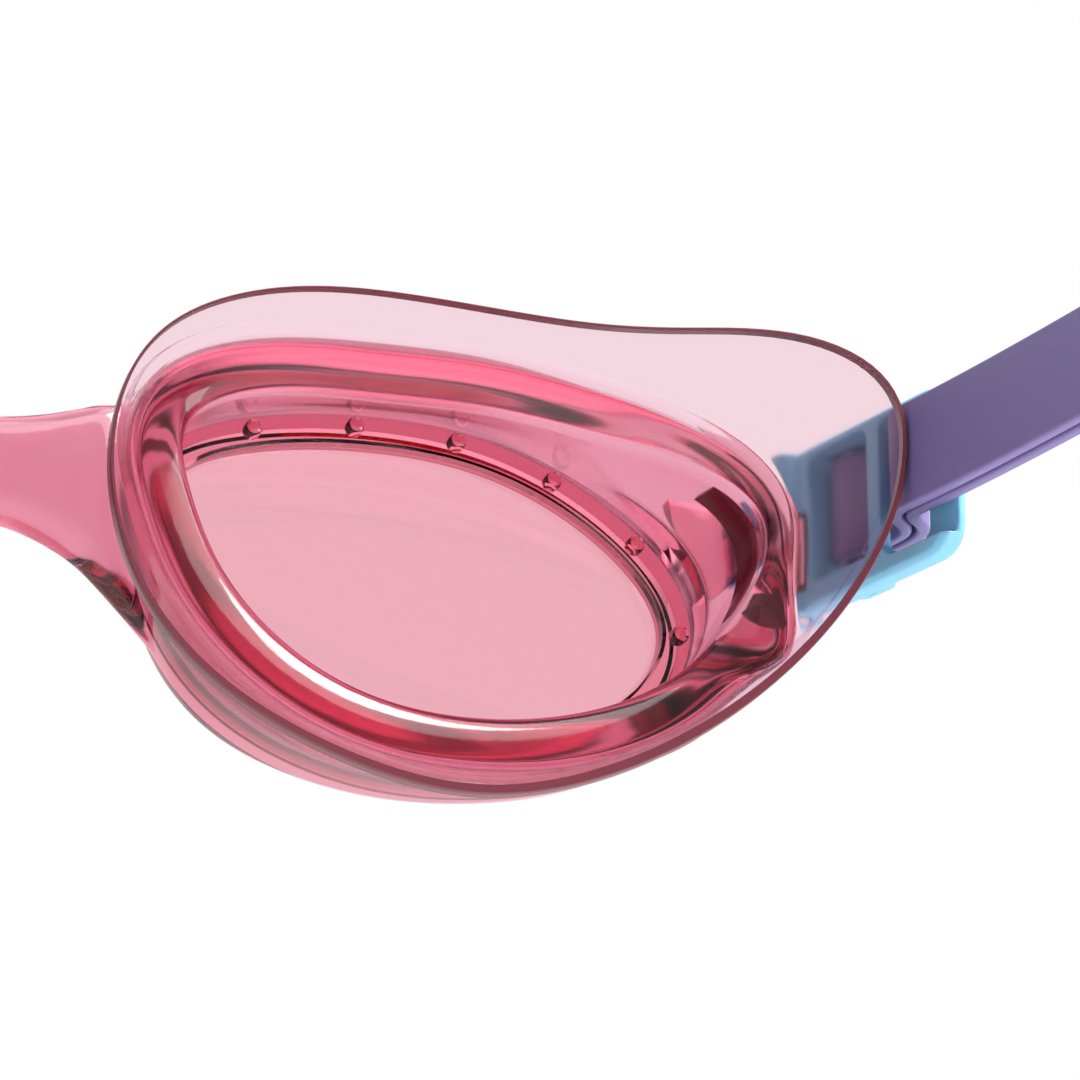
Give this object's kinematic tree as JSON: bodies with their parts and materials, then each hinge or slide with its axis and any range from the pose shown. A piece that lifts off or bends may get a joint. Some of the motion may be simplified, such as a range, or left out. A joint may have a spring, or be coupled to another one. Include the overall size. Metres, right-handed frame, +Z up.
{
  "type": "swimming goggles",
  "caption": "Swimming goggles with soft face seals, clear tinted lenses, a flexible nose bridge, hinged side clips and a doubled elastic head strap with a rear buckle.",
  "frame": {"origin": "between the eyes, on the plane where the face seals meet the face, level with the middles of the cups", "axes": "+X to the wearer's left, -Y the way the wearer looks, +Z up"},
  "size_m": [0.1638, 0.185, 0.0402],
  "materials": {
    "soft_frame": "glossy translucent",
    "face_seal": "glossy translucent",
    "lens": "clear polished",
    "clip": "fine grained satin",
    "strap": "matt silicone",
    "pin": "satin"
  },
  "bodies": {
    "frame": {"front_frame": "soft_frame", "face_seal_left": "face_seal", "face_seal_right": "face_seal", "lens_left": "lens", "lens_right": "lens", "hinge_pin_left": "pin", "hinge_pin_right": "pin", "strap_outer_left": "strap", "strap_outer_right": "strap", "strap_inner": "strap"},
    "clip_left": {"clip_left": "clip", "strap_bar_left": "pin", "strap_lead_left": "strap"},
    "clip_right": {"clip_right": "clip", "strap_bar_right": "pin", "strap_lead_right": "strap"},
    "buckle": {"rear_buckle": "clip"}
  },
  "joints": [
    {"name": "clip_left_swing", "type": "hinge", "parent": "frame", "child": "clip_left", "pos_m": [0.07654, -0.01476, 0.0107], "axis": [0, 0, -1], "range_deg": [-4, 25], "deforming": ["strap_lead_left"]},
    {"name": "clip_right_swing", "type": "hinge", "parent": "frame", "child": "clip_right", "pos_m": [-0.07654, -0.01476, 0.0107], "axis": [0, 0, 1], "range_deg": [-4, 25], "deforming": ["strap_lead_right"]},
    {"name": "buckle_slide", "type": "slide", "parent": "frame", "child": "buckle", "axis": [1, 0, 0], "range_m": [-0.008, 0.008]}
  ]
}
